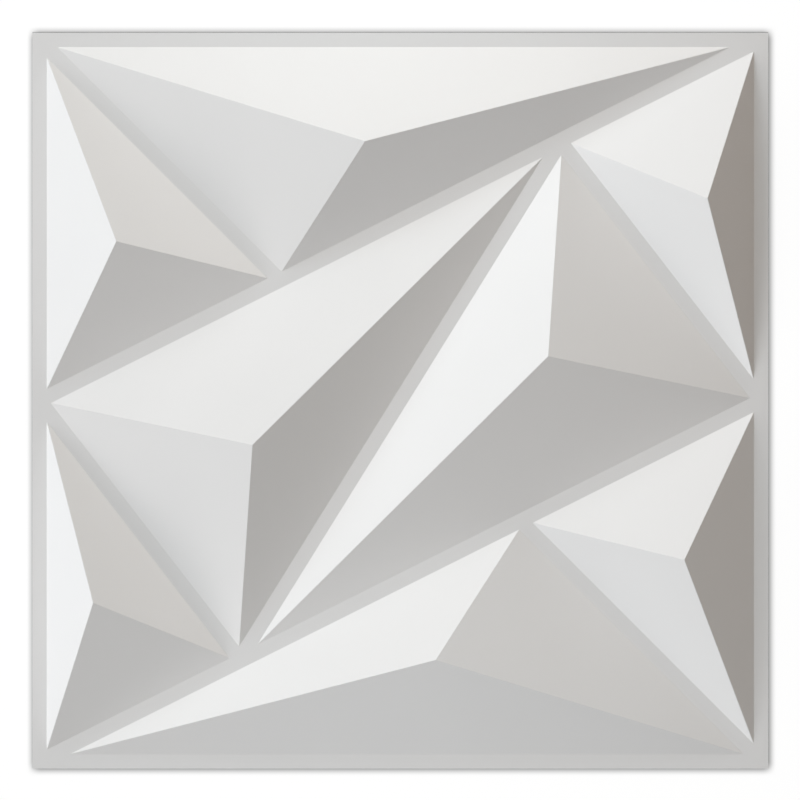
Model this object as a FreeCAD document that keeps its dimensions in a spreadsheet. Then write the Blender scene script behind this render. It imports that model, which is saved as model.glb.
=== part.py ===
"""Square relief tile for lining a wall, formed from one sheet of rigid white vinyl.

The tile lies on its back, +Z up, with the origin at the middle of the back face.
Seen from the front, +X is to the right and +Y is up the wall.

The front is a net of flat strips with eight three-sided peaks standing between them.
The strips' centre lines make a lattice: a square, two parallel long strips that climb
to the right, a spine through the middle, a strip from each of two corners, and a brace
from the middle of each upright side. Half a turn about Z brings the tile back onto
itself, so four peaks are drawn and the other four are their copies.

The sheet is drawn straight up into its mould. Its back follows its front at one
vertical distance, roundings included, so each flank thins by its own slope, and each
peak is an open hollow from behind.
"""

import FreeCAD, Part
import math
import os

import Sketcher

SIZES = {
    "tile_size": 500.0,
    "sheet_thickness": 1.0,
    "relief_height": 30.0,
    "edge_strip_width": 9.8,
    "channel_width": 9.8,
    "spine_foot_inset": 134.8,
    "brace_foot_step": 2.0,
    "top_peak_across": 221.1,
    "top_peak_down": 69.1,
    "side_peak_across": 52.4,
    "side_peak_down": 137.0,
    "centre_peak_across": 144.8,
    "centre_peak_down": 30.1,
    "corner_peak_across": 36.6,
    "corner_peak_down": 107.9,
    "ridge_radius": 0.6,
    "foot_radius": 0.6,
}

BACK_LEVEL = "0 mm"
FRONT_LEVEL = "sizes.sheet_thickness"
HOLLOW_TOP = "sizes.relief_height"
PEAK_TOP = "sizes.sheet_thickness + sizes.relief_height"

# The lattice's lines, each from one node to another.
LATTICE_LINES = {
    "top_side": ("top_left", "top_right"),
    "right_side_upper": ("top_right", "middle_right"),
    "right_side_lower": ("middle_right", "bottom_right"),
    "bottom_side": ("bottom_right", "bottom_left"),
    "left_side_lower": ("bottom_left", "middle_left"),
    "left_side_upper": ("middle_left", "top_left"),
    "upper_long_strip": ("middle_left", "top_right"),
    "lower_long_strip": ("bottom_left", "middle_right"),
    "corner_strip": ("top_left", "corner_strip_foot"),
    "left_brace": ("middle_left", "left_brace_foot"),
    "right_brace": ("middle_right", "right_brace_foot"),
    "spine": ("spine_top", "spine_foot"),
}

# Each peak's three lattice nodes, and the line that bounds it after each of them.
PEAKS = {
    "top_peak": {
        "top_left": "top_side",
        "top_right": "upper_long_strip",
        "corner_strip_foot": "corner_strip",
    },
    "side_peak": {
        "top_left": "corner_strip",
        "corner_strip_foot": "upper_long_strip",
        "middle_left": "left_side_upper",
    },
    "centre_peak": {
        "middle_left": "upper_long_strip",
        "spine_top": "spine",
        "spine_foot": "left_brace",
    },
    "corner_peak": {
        "right_brace_foot": "upper_long_strip",
        "top_right": "right_side_upper",
        "middle_right": "right_brace",
    },
}

# The node that each summit is measured from, sideways and down.
SUMMIT_DATUMS = {
    "top_peak": "top_left",
    "side_peak": "top_left",
    "centre_peak": "middle_left",
    "corner_peak": "top_right",
}

# How a sketch numbers its level axis, the first line borrowed from another sketch, and
# the start and end of any line. Its origin is the level axis's start.
LEVEL_AXIS, _, FIRST_BORROWED = range(-1, -4, -1)
START, END = range(1, 3)
ORIGIN_POINT = (LEVEL_AXIS, START)

NEAR = 1e-4
RIGHT_ANGLE = 90
FULL_TURN = 360
PEAK_PLACES = ("as_drawn", "half_a_turn_on")

# How far towards a peak's middle its outline is first drawn, and what a held size is
# first given. The constraints and the sizes then set both.
GUESSED_INSET = 0.2
UNSET_SIZE = 1.0

doc = FreeCAD.newDocument("wall_tile")
sizes = doc.addObject("Spreadsheet::Sheet", "sizes")
for row, (alias, size) in enumerate(SIZES.items(), start=1):
    sizes.set(f"A{row}", alias)
    sizes.set(f"B{row}", str(size))
    sizes.setAlias(f"B{row}", alias)
doc.recompute()

body = doc.addObject("PartDesign::Body", "wall_panel")
body.Label = "wall_panel"


def origin_feature(role):
    """The body's own origin plane or axis that has this role."""
    return next(f for f in body.Origin.OriginFeatures if f.Role == role)


def flat_sketch(name, level):
    """An empty sketch lying flat at a level, which is an expression of the sizes."""
    sketch = body.newObject("Sketcher::SketchObject", name)
    sketch.AttachmentSupport = [(origin_feature("XY_Plane"), "")]
    sketch.MapMode = "FlatFace"
    sketch.setExpression("AttachmentOffset.Base.z", level)
    return sketch


def hold(sketch, *constraint):
    """Adds a constraint that has no size."""
    return sketch.addConstraint(Sketcher.Constraint(*constraint))


def hold_at(sketch, expression, *constraint):
    """Adds a constraint whose size is an expression of the sizes."""
    index = sketch.addConstraint(Sketcher.Constraint(*constraint, UNSET_SIZE))
    sketch.setExpression(f"Constraints[{index}]", expression)


def add_line(sketch, start, end):
    """Draws a straight line between two points given as (x, y)."""
    return sketch.addGeometry(
        Part.LineSegment(FreeCAD.Vector(*start, 0), FreeCAD.Vector(*end, 0))
    )


def first_guess_of_nodes():
    """Where the lattice's nodes are first drawn, before the constraints hold them."""
    half = (SIZES["tile_size"] - SIZES["edge_strip_width"]) / 2
    spine_inset = SIZES["spine_foot_inset"]
    brace_run = spine_inset + SIZES["brace_foot_step"]
    return {
        "top_left": (-half, half),
        "top_right": (half, half),
        "middle_right": (half, 0),
        "bottom_right": (half, -half),
        "bottom_left": (-half, -half),
        "middle_left": (-half, 0),
        "corner_strip_foot": (-half / 3, half / 3),
        "left_brace_foot": (brace_run - half, brace_run / 2 - half),
        "right_brace_foot": (half - brace_run, half - brace_run / 2),
        "spine_foot": (spine_inset - half, spine_inset / 2 - half),
        "spine_top": (half - spine_inset, half - spine_inset / 2),
    }


def draw_lattice():
    """Draws the strips' centre lines. Returns the sketch and each node's (line, end)."""
    sketch = flat_sketch("lattice", BACK_LEVEL)
    guess = first_guess_of_nodes()
    ends = {}
    for name, (start, end) in LATTICE_LINES.items():
        line = add_line(sketch, guess[start], guess[end])
        for node, place in ((start, (line, START)), (end, (line, END))):
            if node in ends:
                hold(sketch, "Coincident", *ends[node], *place)
            else:
                ends[node] = place

    line_of = {name: index for index, name in enumerate(LATTICE_LINES)}
    for name in ("top_side", "bottom_side"):
        hold(sketch, "Horizontal", line_of[name])
    for name in ("right_side_upper", "right_side_lower", "left_side_upper", "left_side_lower"):
        hold(sketch, "Vertical", line_of[name])
    hold(sketch, "Symmetric", *ends["top_left"], *ends["bottom_right"], *ORIGIN_POINT)
    hold(sketch, "PointOnObject", *ends["middle_left"], LEVEL_AXIS)
    hold(sketch, "PointOnObject", *ends["middle_right"], LEVEL_AXIS)
    span = "sizes.tile_size - sizes.edge_strip_width"
    hold_at(sketch, span, "DistanceX", *ends["top_left"], *ends["top_right"])
    hold_at(sketch, span, "DistanceY", *ends["bottom_left"], *ends["top_left"])

    diagonal = add_line(sketch, guess["top_left"], guess["bottom_right"])
    sketch.toggleConstruction(diagonal)
    hold(sketch, "Coincident", diagonal, START, *ends["top_left"])
    hold(sketch, "Coincident", diagonal, END, *ends["bottom_right"])
    hold(sketch, "PointOnObject", *ends["corner_strip_foot"], diagonal)
    hold(sketch, "PointOnObject", *ends["corner_strip_foot"], line_of["upper_long_strip"])
    hold(sketch, "PointOnObject", *ends["left_brace_foot"], line_of["lower_long_strip"])
    hold_at(
        sketch, "sizes.brace_foot_step",
        "DistanceX", *ends["spine_foot"], *ends["left_brace_foot"],
    )
    hold(
        sketch, "Symmetric",
        *ends["left_brace_foot"], *ends["right_brace_foot"], *ORIGIN_POINT,
    )
    hold(sketch, "PointOnObject", *ends["spine_foot"], line_of["lower_long_strip"])
    hold_at(
        sketch, "sizes.spine_foot_inset",
        "DistanceX", *ends["bottom_left"], *ends["spine_foot"],
    )
    hold(sketch, "Symmetric", *ends["spine_foot"], *ends["spine_top"], *ORIGIN_POINT)
    doc.recompute()
    return sketch, ends


def borrow_line(sketch, name):
    """Brings one of the lattice's lines into a sketch, and returns its index there."""
    ends = [lattice.getPoint(*node_ends[node]) for node in LATTICE_LINES[name]]
    number = next(
        number
        for number, edge in enumerate(lattice.Shape.Edges, start=1)
        if all(min(vertex.Point.distanceToPoint(end) for vertex in edge.Vertexes) < NEAR for end in ends)
    )
    sketch.addExternal(lattice.Name, f"Edge{number}")
    return FIRST_BORROWED - (len(sketch.ExternalGeometry[0][1]) - 1)


def draw_set_back(sketch, centre_line, middle, strip):
    """Measures half a strip's width from its centre line towards a peak's middle."""
    foot = sketch.getPoint(centre_line, START)
    along = (sketch.getPoint(centre_line, END) - foot).normalize()
    inwards = FreeCAD.Vector(-along.y, along.x)
    turn = RIGHT_ANGLE if inwards.dot(middle - foot) > 0 else -RIGHT_ANGLE
    tip = foot + inwards * math.copysign(SIZES[strip] / 2, turn)
    set_back = add_line(sketch, (foot.x, foot.y), (tip.x, tip.y))
    sketch.toggleConstruction(set_back)
    hold(sketch, "Coincident", set_back, START, centre_line, START)
    hold(sketch, "Angle", centre_line, START, set_back, START, math.radians(turn))
    hold_at(sketch, f"sizes.{strip} / 2", "Distance", set_back)
    return set_back


def draw_outline(name, level, sides):
    """Draws a peak's outline, each side set back half a strip from its lattice line."""
    sketch = flat_sketch(name, level)
    nodes = [lattice.getPoint(*node_ends[node]) for node in sides]
    middle = sum(nodes, FreeCAD.Vector()) / len(nodes)
    corners = [node + (middle - node) * GUESSED_INSET for node in nodes]
    for here, there in zip(corners, corners[1:] + corners[:1]):
        add_line(sketch, (here.x, here.y), (there.x, there.y))
    for side, line in enumerate(sides.values()):
        hold(sketch, "Coincident", side, END, (side + 1) % len(sides), START)
        strip = "edge_strip_width" if "side" in line else "channel_width"
        centre_line = borrow_line(sketch, line)
        set_back = draw_set_back(sketch, centre_line, middle, strip)
        hold(sketch, "Parallel", side, centre_line)
        hold(sketch, "PointOnObject", set_back, END, side)
    return sketch


def draw_summit(name, level, peak):
    """Draws a peak's summit as a single point, measured from a node of the lattice."""
    sketch = flat_sketch(name, level)
    datum = SUMMIT_DATUMS[peak]
    line = next(key for key, pair in LATTICE_LINES.items() if pair[0] == datum)
    node = (borrow_line(sketch, line), START)
    place = lattice.getPoint(*node_ends[datum])
    across, down = SIZES[f"{peak}_across"], SIZES[f"{peak}_down"]
    leftwards = datum.endswith("right")
    start_x = place.x - across if leftwards else place.x + across
    summit = (sketch.addGeometry(Part.Point(FreeCAD.Vector(start_x, place.y - down, 0))), START)
    sideways = (*summit, *node) if leftwards else (*node, *summit)
    hold_at(sketch, f"sizes.{peak}_across", "DistanceX", *sideways)
    hold_at(sketch, f"sizes.{peak}_down", "DistanceY", *summit, *node)
    return sketch


def draw_peak(kind, peak, suffix, foot_level, summit_level):
    """Adds a solid peak, or cuts a hollow one, from its outline up to its summit."""
    feature = body.newObject(kind, f"{peak}_{suffix}")
    feature.Profile = draw_outline(f"{peak}_{suffix}_outline", foot_level, PEAKS[peak])
    feature.Sections = [draw_summit(f"{peak}_{suffix}_summit", summit_level, peak)]
    feature.Ruled = True
    return feature


def round_edges(name, radius, chosen):
    """Rounds the edges of the body so far that the test picks."""
    doc.recompute()
    base = body.Tip
    picked = [
        f"Edge{number}"
        for number, edge in enumerate(base.Shape.Edges, start=1)
        if len(edge.Vertexes) == 2 and chosen(edge)
    ]
    fillet = body.newObject("PartDesign::Fillet", name)
    fillet.Base = (base, picked)
    fillet.setExpression("Radius", f"sizes.{radius}")
    body.Tip = fillet
    return fillet


def levels(edge):
    """The heights of an edge's two ends, the lower one first."""
    return sorted(vertex.Z for vertex in edge.Vertexes)


def is_on_rim(edge):
    """Whether an edge lies on the tile's outer side faces."""
    reach = SIZES["tile_size"] / 2 - NEAR
    return all(max(abs(vertex.X), abs(vertex.Y)) > reach for vertex in edge.Vertexes)


def is_ridge(edge, foot, summit):
    """Whether a straight edge climbs from the foot level to the summit."""
    low, high = levels(edge)
    return abs(low - foot) < NEAR and abs(high - summit) < NEAR


def is_foot_line(edge, foot):
    """Whether an edge runs round a peak at the foot level."""
    return not is_on_rim(edge) and all(abs(level - foot) < NEAR for level in levels(edge))


def draw_blank():
    """The flat sheet before it is drawn up: a centred square of the tile's size."""
    outline = flat_sketch("tile_outline", BACK_LEVEL)
    half = SIZES["tile_size"] / 2
    corners = [(-half, half), (half, half), (half, -half), (-half, -half)]
    for here, there in zip(corners, corners[1:] + corners[:1]):
        add_line(outline, here, there)
    top, right, bottom, left = range(len(corners))
    for side, following in ((top, right), (right, bottom), (bottom, left), (left, top)):
        hold(outline, "Coincident", side, END, following, START)
    hold(outline, "Horizontal", top)
    hold(outline, "Horizontal", bottom)
    hold(outline, "Vertical", right)
    hold(outline, "Vertical", left)
    hold(outline, "Equal", top, right)
    hold(outline, "Symmetric", top, START, bottom, START, *ORIGIN_POINT)
    hold_at(outline, "sizes.tile_size", "DistanceX", top, START, top, END)
    blank = body.newObject("PartDesign::Pad", "blank_sheet")
    blank.Profile = outline
    blank.setExpression("Length", "sizes.sheet_thickness")
    return blank


draw_blank()
lattice, node_ends = draw_lattice()

peaks = [
    draw_peak("PartDesign::AdditiveLoft", peak, "front", FRONT_LEVEL, PEAK_TOP)
    for peak in PEAKS
]
hollows = [
    draw_peak("PartDesign::SubtractiveLoft", peak, "hollow", BACK_LEVEL, HOLLOW_TOP)
    for peak in PEAKS
]

half_turn = body.newObject("PartDesign::PolarPattern", "half_turn")
half_turn.Originals = peaks + hollows
half_turn.Axis = (origin_feature("Z_Axis"), [""])
half_turn.Angle = FULL_TURN
half_turn.Occurrences = len(PEAK_PLACES)
body.Tip = half_turn

sheet_top = SIZES["sheet_thickness"]
hollow_top = SIZES["relief_height"]
peak_top = sheet_top + hollow_top
round_edges("front_ridges", "ridge_radius", lambda edge: is_ridge(edge, sheet_top, peak_top))
round_edges("back_ridges", "ridge_radius", lambda edge: is_ridge(edge, 0, hollow_top))
round_edges("front_feet", "foot_radius", lambda edge: is_foot_line(edge, sheet_top))
round_edges("back_feet", "foot_radius", lambda edge: is_foot_line(edge, 0))
doc.recompute()

for thing in doc.Objects:
    if any(state in ("Invalid", "Error") for state in thing.State):
        raise RuntimeError(f"{thing.Label} failed: {thing.State}")
shape = body.Shape
if shape.isNull() or not shape.isValid() or len(shape.Solids) != 1:
    raise RuntimeError("wall_panel is not one valid solid")

os.makedirs("parts", exist_ok=True)
shape.exportStep(f"parts/{body.Label}.step")
print(
    f"{body.Label}: {shape.Volume:.0f} mm3, {len(shape.Faces)} faces, "
    f"box {shape.BoundBox.XLength:.1f} x {shape.BoundBox.YLength:.1f} x {shape.BoundBox.ZLength:.1f} mm"
)
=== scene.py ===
"""Looks, stage and light for a square relief wall tile of white vinyl.

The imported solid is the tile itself, lying on its back with its relief upwards. It keeps
its shape here and gets its finish. The camera hangs far above it and looks straight
down, with +X to the right and +Y up the picture, as the tile would be seen on a wall.
"""

import logging
import math
from dataclasses import dataclass
from typing import Union

import bpy
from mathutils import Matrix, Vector


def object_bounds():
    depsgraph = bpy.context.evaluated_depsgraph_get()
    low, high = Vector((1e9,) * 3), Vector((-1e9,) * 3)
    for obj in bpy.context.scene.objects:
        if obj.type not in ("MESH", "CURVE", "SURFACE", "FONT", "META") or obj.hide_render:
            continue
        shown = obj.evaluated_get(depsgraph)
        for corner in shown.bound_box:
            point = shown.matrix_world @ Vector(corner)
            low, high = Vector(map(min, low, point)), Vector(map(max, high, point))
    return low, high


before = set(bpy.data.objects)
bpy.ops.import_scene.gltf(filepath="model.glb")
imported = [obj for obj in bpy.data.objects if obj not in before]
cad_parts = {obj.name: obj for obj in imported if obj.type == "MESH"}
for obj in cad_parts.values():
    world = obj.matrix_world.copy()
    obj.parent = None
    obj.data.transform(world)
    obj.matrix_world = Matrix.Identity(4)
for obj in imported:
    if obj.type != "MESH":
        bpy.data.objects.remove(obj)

CAD_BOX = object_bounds()
MM = 0.001
TILE_SIDE = CAD_BOX[1].x - CAD_BOX[0].x

log = logging.getLogger("wall_tile")

Colour = tuple[float, float, float]
Socket = bpy.types.NodeSocket
SocketValue = Union[Socket, float, tuple[float, ...]]


class NodeSheet:
    """Writes shader nodes into a material or a group, one call for each node."""

    def __init__(self, tree: bpy.types.NodeTree) -> None:
        """Starts on an empty node tree.

        Args:
            tree: the material's or the group's tree.
        """
        tree.nodes.clear()
        self.tree = tree

    def add(self, kind: str, **settings: object) -> bpy.types.Node:
        """Adds a node.

        Args:
            kind: the node's type name.
            settings: its properties.

        Returns:
            The new node.
        """
        node = self.tree.nodes.new(kind)
        for name, setting in settings.items():
            setattr(node, name, setting)
        return node

    def feed(self, target: Socket, source: SocketValue) -> None:
        """Links a socket, or sets it where the source is a plain value.

        Args:
            target: an input socket.
            source: an output socket, a number or a tuple.
        """
        if isinstance(source, bpy.types.NodeSocket):
            self.tree.links.new(source, target)
        else:
            target.default_value = source

    def math(self, operation: str, *terms: SocketValue, clamp: bool = False) -> Socket:
        """Adds a Math node.

        Args:
            operation: the operation's name.
            terms: one to three inputs.
            clamp: whether the result stays within 0 and 1.

        Returns:
            The result.
        """
        node = self.add("ShaderNodeMath", operation=operation, use_clamp=clamp)
        for target, source in zip(node.inputs, terms):
            self.feed(target, source)
        return node.outputs[0]

    def vector(self, operation: str, *terms: SocketValue) -> bpy.types.Node:
        """Adds a Vector Math node.

        Args:
            operation: the operation's name.
            terms: its inputs.

        Returns:
            The node, because some operations put out a number.
        """
        node = self.add("ShaderNodeVectorMath", operation=operation)
        for target, source in zip(node.inputs, terms):
            self.feed(target, source)
        return node

    def blend(self, factor: SocketValue, first: SocketValue, second: SocketValue) -> Socket:
        """Blends two numbers.

        Args:
            factor: 0 gives the first, 1 the second.
            first: a number or a socket.
            second: a number or a socket.

        Returns:
            The blended number.
        """
        node = self.add("ShaderNodeMix", data_type="FLOAT")
        for name, source in (("Factor", factor), ("A", first), ("B", second)):
            self.feed(node.inputs[name], source)
        return node.outputs["Result"]

    def blend_colours(self, factor: SocketValue, first: Colour, second: Colour) -> Socket:
        """Blends two colours.

        Args:
            factor: 0 gives the first, 1 the second.
            first: a colour.
            second: a colour.

        Returns:
            The blended colour.
        """
        node = self.add("ShaderNodeMix", data_type="RGBA")
        self.feed(node.inputs[0], factor)
        for target, colour in zip((s for s in node.inputs if s.type == "RGBA"), (first, second)):
            target.default_value = (*colour, 1.0)
        return next(s for s in node.outputs if s.type == "RGBA")

    def noise(self, point: Socket, scale: SocketValue, detail: float, roughness: float) -> Socket:
        """Adds a noise texture.

        Args:
            point: where it is read.
            scale: its scale, in features to a metre.
            detail: its octaves.
            roughness: how strong the fine octaves are.

        Returns:
            The noise, from 0 to 1.
        """
        node = self.add("ShaderNodeTexNoise")
        for name, source in (
            ("Vector", point),
            ("Scale", scale),
            ("Detail", detail),
            ("Roughness", roughness),
        ):
            self.feed(node.inputs[name], source)
        return node.outputs["Fac"]

    def use(self, group: bpy.types.NodeTree, **inputs: SocketValue) -> bpy.types.Node:
        """Places a node group.

        Args:
            group: the group.
            inputs: its inputs, with spaces written as underscores.

        Returns:
            The group's node.
        """
        node = self.add("ShaderNodeGroup", node_tree=group)
        for name, source in inputs.items():
            self.feed(node.inputs[name.replace("_", " ")], source)
        return node


class EffectGroup:
    """A shader node group with named inputs and outputs, built once."""

    name = ""
    inputs: dict[str, Union[float, None]] = {}
    outputs: tuple[str, ...] = ()

    def tree(self) -> bpy.types.NodeTree:
        """Gives the group's tree, which is built the first time it is asked for.

        Returns:
            The group's tree.
        """
        made = bpy.data.node_groups.get(self.name)
        if made is None:
            made = bpy.data.node_groups.new(self.name, "ShaderNodeTree")
            sheet = NodeSheet(made)
            for label, default in self.inputs.items():
                kind = "NodeSocketVector" if default is None else "NodeSocketFloat"
                socket = made.interface.new_socket(label, in_out="INPUT", socket_type=kind)
                if default is not None:
                    socket.default_value = default
            for label in self.outputs:
                made.interface.new_socket(label, in_out="OUTPUT", socket_type="NodeSocketFloat")
            given = sheet.add("NodeGroupInput").outputs
            result = sheet.add("NodeGroupOutput").inputs
            for label, source in self.wire(sheet, given).items():
                sheet.feed(result[label], source)
        return made

    def wire(self, sheet: NodeSheet, given: bpy.types.NodeOutputs) -> dict[str, Socket]:
        """Wires the group.

        Args:
            sheet: where the nodes go.
            given: the group's inputs.

        Returns:
            Each output's name and what feeds it.
        """
        raise NotImplementedError


class MattGrain(EffectGroup):
    """The fine matt grain that the mould's blasted face presses into the sheet."""

    name = "matt_grain"
    inputs = {"Point": None, "Pitch": 0.35 * MM}
    outputs = ("Height", "Speck")

    def wire(self, sheet: NodeSheet, given: bpy.types.NodeOutputs) -> dict[str, Socket]:
        """Wires fine noise into a height and a mask.

        Args:
            sheet: where the nodes go.
            given: the group's inputs.

        Returns:
            The height, and a speckle mask from 0 to 1.
        """
        scale = sheet.math("DIVIDE", 1.0, given["Pitch"])
        noise = sheet.noise(given["Point"], scale, detail=1.0, roughness=0.5)
        return {"Height": noise, "Speck": sheet.math("MULTIPLY", noise, noise)}


class SlowMottle(EffectGroup):
    """The slow cloudiness of a drawn sheet, from how it warmed and cooled."""

    name = "slow_mottle"
    inputs = {"Point": None, "Pitch": 60.0 * MM}
    outputs = ("Cloud",)

    def wire(self, sheet: NodeSheet, given: bpy.types.NodeOutputs) -> dict[str, Socket]:
        """Wires soft noise into a mask.

        Args:
            sheet: where the nodes go.
            given: the group's inputs.

        Returns:
            The cloudiness, from 0 to 1.
        """
        scale = sheet.math("DIVIDE", 1.0, given["Pitch"])
        return {"Cloud": sheet.noise(given["Point"], scale, detail=1.0, roughness=0.4)}


class DrawnStretch(EffectGroup):
    """How far the sheet was stretched, read from how steeply its surface lies; the same mask sets the
    painted shade on the flat strips.
    """

    name = "drawn_stretch"
    inputs = {"Full Lean": 0.05, "Upright Level": 0.2}
    outputs = ("Stretch And Strip Shade", "Upright")

    def wire(self, sheet: NodeSheet, given: bpy.types.NodeOutputs) -> dict[str, Socket]:
        """Wires the surface's slope into two masks.

        Args:
            sheet: where the nodes go.
            given: the group's inputs.

        Returns:
            The stretch, which is 0 on flat strips and also sets their painted shade, and a mask of the
            upright edges.
        """
        normal = sheet.add("ShaderNodeNewGeometry").outputs["True Normal"]
        parts = sheet.add("ShaderNodeSeparateXYZ")
        sheet.feed(parts.inputs[0], normal)
        level = sheet.math("ABSOLUTE", parts.outputs["Z"])
        lean = sheet.math("SUBTRACT", 1.0, level)
        return {
            "Stretch And Strip Shade": sheet.math("DIVIDE", lean, given["Full Lean"], clamp=True),
            "Upright": sheet.math("LESS_THAN", level, given["Upright Level"]),
        }


class ContactShade(EffectGroup):
    """The painted shadow on the floor: a soft dark line round a square thing that lies on it."""

    name = "contact_shade"
    inputs = {
        "Point": None,
        "Half Side": 0.25,
        "Shift X": 0.0,
        "Shift Y": 0.0,
        "Reach": 5.0 * MM,
        "Depth": 1.0,
    }
    outputs = ("Light",)

    def wire(self, sheet: NodeSheet, given: bpy.types.NodeOutputs) -> dict[str, Socket]:
        """Wires a square with blurred sides into how much light is left.

        Args:
            sheet: where the nodes go.
            given: the group's inputs.

        Returns:
            The light left, which is 1 away from the square.
        """
        parts = sheet.add("ShaderNodeSeparateXYZ")
        sheet.feed(parts.inputs[0], given["Point"])
        inner = sheet.math("SUBTRACT", given["Half Side"], given["Reach"])
        outer = sheet.math("ADD", given["Half Side"], given["Reach"])
        dark = given["Depth"]
        for axis in "XY":
            across = sheet.math("SUBTRACT", parts.outputs[axis], given[f"Shift {axis}"])
            slope = sheet.add("ShaderNodeMapRange", interpolation_type="SMOOTHSTEP")
            for name, source in (
                ("Value", sheet.math("ABSOLUTE", across)),
                ("From Min", inner),
                ("From Max", outer),
                ("To Min", 1.0),
                ("To Max", 0.0),
            ):
                sheet.feed(slope.inputs[name], source)
            dark = sheet.math("MULTIPLY", dark, slope.outputs["Result"])
        return {"Light": sheet.math("SUBTRACT", 1.0, dark, clamp=True)}


def seen_by_eye(sheet: NodeSheet) -> Socket:
    """Tells rays that show a thing from rays that only light it.

    Args:
        sheet: where the nodes go.

    Returns:
        1 for a camera, glossy or transmission ray, and 0 for the rest.
    """
    path = sheet.add("ShaderNodeLightPath").outputs
    either = sheet.math("MAXIMUM", path["Is Camera Ray"], path["Is Glossy Ray"])
    return sheet.math("MAXIMUM", either, path["Is Transmission Ray"])


@dataclass(frozen=True)
class WhiteVinyl:
    """The finish of the formed sheet: matt white rigid vinyl, the same all through.

    Its flanks are drawn a little smoother than its strips, and its flat strips carry a
    little painted shade, a darker white than the flanks for the shade in the channels
    between the peaks. Its trimmed edges are left rougher by the saw.
    """

    name: str = "white_vinyl"
    # painted shade: the flat strips' colour is darker than the flanks' to stand in for the shade in the
    # channels
    colour: Colour = (0.785, 0.784, 0.788)
    flank_colour: Colour = (0.852, 0.849, 0.850)
    full_lean: float = 0.05
    cloud_pitch: float = 60.0 * MM
    cloud_depth: float = 0.02
    roughness: float = 0.62
    drawn_roughness: float = 0.56
    sawn_roughness: float = 0.80
    speck_roughness: float = 0.06
    refraction: float = 1.46
    grain_pitch: float = 0.35 * MM
    grain_height: float = 0.006 * MM
    saw_pitch: float = 0.8 * MM
    saw_upright_stretch: float = 20.0
    saw_depth: float = 4.0

    def build(self) -> bpy.types.Material:
        """Builds the material.

        Returns:
            The material.
        """
        material = bpy.data.materials.new(self.name)
        material.use_nodes = True
        sheet = NodeSheet(material.node_tree)
        point = sheet.add("ShaderNodeTexCoord").outputs["Object"]
        grain = sheet.use(MattGrain().tree(), Point=point, Pitch=self.grain_pitch).outputs
        mottle = sheet.use(SlowMottle().tree(), Point=point, Pitch=self.cloud_pitch).outputs
        masks = sheet.use(DrawnStretch().tree(), Full_Lean=self.full_lean).outputs

        surface = sheet.add("ShaderNodeBsdfPrincipled")
        surface.inputs["IOR"].default_value = self.refraction
        # painted shade: flat strips take the darker colour, flanks the whiter one
        strip_shaded_white = sheet.blend_colours(masks["Stretch And Strip Shade"], self.colour, self.flank_colour)
        lowest = 1.0 - self.cloud_depth / 2
        clouded = sheet.vector("SCALE", strip_shaded_white)
        strength = sheet.math("MULTIPLY_ADD", mottle["Cloud"], self.cloud_depth, lowest)
        sheet.feed(clouded.inputs["Scale"], strength)
        sheet.feed(surface.inputs["Base Color"], clouded.outputs["Vector"])

        drawn = sheet.blend(masks["Stretch And Strip Shade"], self.roughness, self.drawn_roughness)
        sawn = sheet.blend(masks["Upright"], drawn, self.sawn_roughness)
        speckled = sheet.math("MULTIPLY_ADD", grain["Speck"], self.speck_roughness, sawn)
        sheet.feed(surface.inputs["Roughness"], speckled)

        bump = sheet.add("ShaderNodeBump")
        bump.inputs["Distance"].default_value = self.grain_height
        bump.inputs["Strength"].default_value = 1.0
        height = sheet.blend(masks["Upright"], grain["Height"], self.saw_lines(sheet, point))
        sheet.feed(bump.inputs["Height"], height)
        sheet.feed(surface.inputs["Normal"], bump.outputs["Normal"])
        sheet.feed(sheet.add("ShaderNodeOutputMaterial").inputs["Surface"], surface.outputs[0])
        return material

    def saw_lines(self, sheet: NodeSheet, point: Socket) -> Socket:
        """Draws the upright lines that the trimming saw leaves on the edges.

        Args:
            sheet: where the nodes go.
            point: where the pattern is read.

        Returns:
            The lines' height, counted in heights of the grain.
        """
        stretched = sheet.add("ShaderNodeMapping", vector_type="POINT")
        sheet.feed(stretched.inputs["Vector"], point)
        stretched.inputs["Scale"].default_value = (1.0, 1.0, 1.0 / self.saw_upright_stretch)
        lines = sheet.noise(stretched.outputs[0], 1.0 / self.saw_pitch, detail=0.0, roughness=0.5)
        return sheet.math("MULTIPLY", lines, self.saw_depth)


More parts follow.
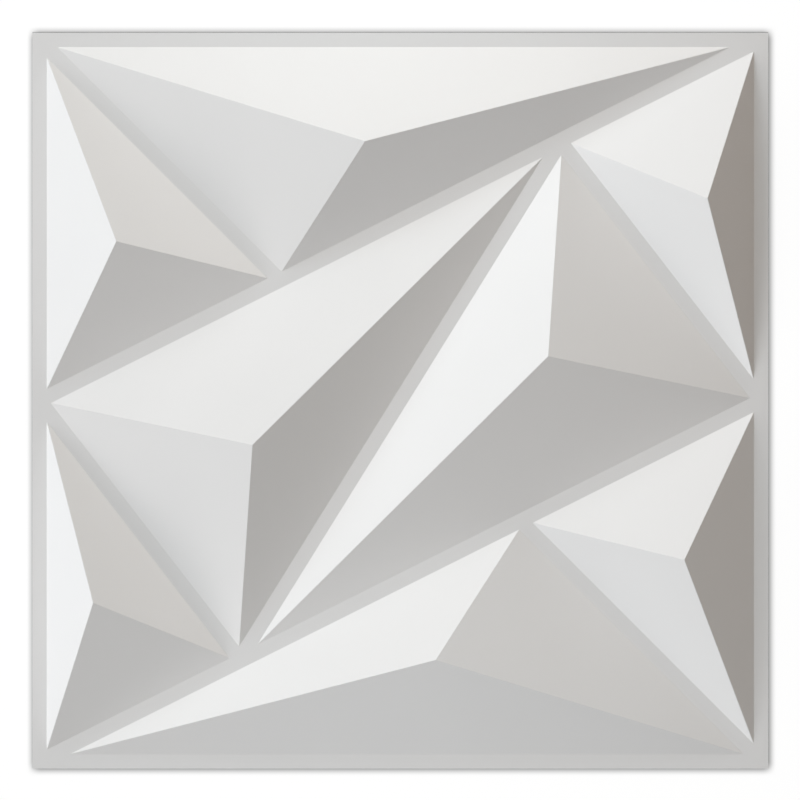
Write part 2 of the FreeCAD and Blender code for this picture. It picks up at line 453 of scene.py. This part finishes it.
@dataclass(frozen=True)
class WhiteFloor:
    """The finish of the floor: plain white paper that shows white in the picture.

    What the camera sees is a share of real light, which keeps the tile's soft shadow,
    on a white ground with a painted shadow that darkens it close to the tile. What
    lights the tile is the plain paper.
    """

    name: str = "white_paper"
    colour: Colour = (0.80, 0.80, 0.80)
    shadow_share: float = 0.12
    ground: float = 0.915
    tile_side: float = TILE_SIDE
    shade_shift_x: float = 0.65 * MM
    shade_shift_y: float = -0.25 * MM
    shade_reach: float = 5.3 * MM
    shade_depth: float = 1.14
    # painted shadow line: a thin dark line on the floor just past the tile's top edge
    painted_line_shift_y: float = 0.35 * MM
    painted_line_reach: float = 0.25 * MM
    painted_line_depth: float = 0.72

    def build(self) -> bpy.types.Material:
        """Builds the material.

        Returns:
            The material.
        """
        material = bpy.data.materials.new(self.name)
        material.use_nodes = True
        sheet = NodeSheet(material.node_tree)
        point = sheet.add("ShaderNodeTexCoord").outputs["Object"]
        shade = sheet.use(
            ContactShade().tree(),
            Point=point,
            Half_Side=self.tile_side / 2,
            Shift_X=self.shade_shift_x,
            Shift_Y=self.shade_shift_y,
            Reach=self.shade_reach,
            Depth=self.shade_depth,
        )
        # a second painted shadow, the thin dark line along the tile's top edge
        painted_line = sheet.use(
            ContactShade().tree(),
            Point=point,
            Half_Side=self.tile_side / 2,
            Shift_Y=self.painted_line_shift_y,
            Reach=self.painted_line_reach,
            Depth=self.painted_line_depth,
        )
        # painted shadow: how much of the floor's colour is left round the tile
        light = sheet.math("MULTIPLY", shade.outputs["Light"], painted_line.outputs["Light"])

        paper = sheet.add("ShaderNodeBsdfDiffuse")
        paper.inputs["Color"].default_value = (*self.colour, 1.0)
        lit = sheet.add("ShaderNodeBsdfDiffuse")
        # the lit share and the white ground below are both darkened by the painted shadow
        sheet.feed(lit.inputs["Color"], sheet.math("MULTIPLY", light, self.shadow_share))
        ground = sheet.add("ShaderNodeEmission")
        sheet.feed(ground.inputs["Color"], sheet.math("MULTIPLY", light, self.ground))
        seen = sheet.add("ShaderNodeAddShader")
        sheet.feed(seen.inputs[0], lit.outputs[0])
        sheet.feed(seen.inputs[1], ground.outputs[0])

        shown = sheet.add("ShaderNodeMixShader")
        sheet.feed(shown.inputs["Fac"], seen_by_eye(sheet))
        sheet.feed(shown.inputs[1], paper.outputs[0])
        sheet.feed(shown.inputs[2], seen.outputs[0])
        below = sheet.add("ShaderNodeMixShader")
        sheet.feed(below.inputs["Fac"], sheet.add("ShaderNodeNewGeometry").outputs["Backfacing"])
        sheet.feed(below.inputs[1], shown.outputs[0])
        sheet.feed(below.inputs[2], sheet.add("ShaderNodeBsdfTransparent").outputs[0])
        sheet.feed(sheet.add("ShaderNodeOutputMaterial").inputs["Surface"], below.outputs[0])
        return material


@dataclass(frozen=True)
class WallTile:
    """The tile: one formed sheet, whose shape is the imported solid."""

    node: str = "wall_panel"
    finish: WhiteVinyl = WhiteVinyl()

    def dress(self) -> bpy.types.Object:
        """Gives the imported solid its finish.

        Returns:
            The tile's object.
        """
        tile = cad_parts[self.node]
        finish = self.finish.build()
        for slot in tile.material_slots:
            slot.material = finish
        return tile


@dataclass(frozen=True)
class Softbox:
    """A square soft light that points at the middle of the tile.

    Its azimuth is counted from +X towards +Y.
    """

    name: str
    azimuth: float
    elevation: float
    power: float
    colour: Colour = (1.0, 1.0, 1.0)
    side: float = 2.8
    distance: float = 6.0

    def place(self) -> bpy.types.Object:
        """Adds the lamp.

        Returns:
            The lamp's object.
        """
        turn, climb = math.radians(self.azimuth), math.radians(self.elevation)
        away = Vector(
            (math.cos(climb) * math.cos(turn), math.cos(climb) * math.sin(turn), math.sin(climb))
        )
        bpy.ops.object.light_add(type="AREA", location=away * self.distance)
        lamp = bpy.context.object
        lamp.name = self.name
        lamp.rotation_euler = away.to_track_quat("Z", "Y").to_euler()
        lamp.data.shape = "SQUARE"
        lamp.data.size = self.side
        lamp.data.energy = self.power
        lamp.data.color = self.colour
        lamp.visible_camera = False
        return lamp


@dataclass(frozen=True)
class Studio:
    """The white floor with its painted shadow, the soft lamps and the pale surroundings.

    The floor has a window of the tile's size under the tile, through which the lamps
    below light its hollow back.
    """

    floor_side: float = 16.0
    floor_drop: float = 0.2 * MM
    window_side: float = TILE_SIDE
    fill: float = 0.04
    lamps: tuple[Softbox, ...] = (
        Softbox("left_box", 202.5, 24.0, 127.0, (1.00, 0.96, 0.96)),
        Softbox("low_left_box", 225.0, 17.0, 81.0, (1.00, 0.97, 0.93)),
        Softbox("upper_left_box", 135.0, 24.0, 71.0, (0.85, 0.94, 1.00)),
        Softbox("close_upper_left_box", 135.0, 30.0, 26.0, (0.82, 0.94, 1.00), side=1.4, distance=3.0),
        Softbox("top_box", 90.0, 17.0, 67.0, (1.00, 0.98, 0.97)),
        Softbox("upper_right_box", 67.5, 38.0, 96.0, (1.00, 0.81, 0.64)),
        Softbox("near_top_box", 90.0, 30.0, 0.28, (0.93, 0.99, 1.00), side=0.3, distance=0.5),
        Softbox("near_bottom_box", 270.0, 45.0, 0.61, (0.86, 0.96, 1.00), side=0.4, distance=0.7),
        Softbox("under_left_box", 150.0, -60.0, 230.0),
        Softbox("under_right_box", 330.0, -60.0, 70.0),
    )

    def lay_floor(self) -> bpy.types.Object:
        """Lays the floor just under the tile's back, and opens its window.

        Returns:
            The floor's object.
        """
        bpy.ops.object.select_all(action="DESELECT")
        bpy.ops.mesh.primitive_plane_add(size=self.floor_side, location=(0.0, 0.0, -self.floor_drop))
        floor = bpy.context.object
        floor.name = "white_floor"
        bpy.ops.object.transform_apply(location=True, rotation=False, scale=False)
        bpy.ops.object.mode_set(mode="EDIT")
        bpy.ops.mesh.select_all(action="SELECT")
        bpy.ops.mesh.inset(thickness=(self.floor_side - self.window_side) / 2, depth=0.0)
        bpy.ops.mesh.delete(type="FACE")
        bpy.ops.object.mode_set(mode="OBJECT")
        floor.data.materials.append(WhiteFloor().build())
        return floor

    def surround(self) -> bpy.types.World:
        """Sets surroundings that show white and fill the shadows softly.

        Returns:
            The world.
        """
        world = bpy.data.worlds.new("pale_room")
        world.use_nodes = True
        sheet = NodeSheet(world.node_tree)
        backdrop = sheet.add("ShaderNodeBackground")
        backdrop.inputs["Color"].default_value = (1.0, 1.0, 1.0, 1.0)
        sheet.feed(backdrop.inputs["Strength"], sheet.blend(seen_by_eye(sheet), self.fill, 1.0))
        sheet.feed(sheet.add("ShaderNodeOutputWorld").inputs["Surface"], backdrop.outputs[0])
        bpy.context.scene.world = world
        return world

    def build(self) -> None:
        """Lays the floor, sets the surroundings and adds every lamp."""
        self.lay_floor()
        self.surround()
        for lamp in self.lamps:
            lamp.place()
            log.info("lamp %s at azimuth %.0f, elevation %.0f", lamp.name, lamp.azimuth, lamp.elevation)


@dataclass(frozen=True)
class OverheadCamera:
    """A camera with a very long lens that looks straight down on the tile."""

    height: float = 20.0
    view_width: float = 543.6 * MM
    aim_x: float = -0.21 * MM
    aim_y: float = 0.40 * MM

    def place(self) -> bpy.types.Object:
        """Adds the camera and makes it the scene's own.

        Returns:
            The camera's object.
        """
        above = (self.aim_x, self.aim_y, self.height)
        bpy.ops.object.camera_add(location=above, rotation=(0.0, 0.0, 0.0))
        camera = bpy.context.object
        camera.name = "overhead_camera"
        camera.data.lens = camera.data.sensor_width * self.height / self.view_width
        camera.data.clip_end = 2.0 * self.height
        bpy.context.scene.camera = camera
        return camera


def main() -> None:
    """Builds the camera, the tile's finish and the studio."""
    logging.basicConfig(level=logging.INFO, format="%(name)s: %(message)s")
    scene = bpy.context.scene
    scene.view_settings.view_transform = "Standard"
    OverheadCamera().place()
    tile = WallTile().dress()
    log.info("%s: %d faces, finish %s", tile.name, len(tile.data.polygons), tile.material_slots[0].name)
    Studio().build()


if __name__ == "__main__":
    main()
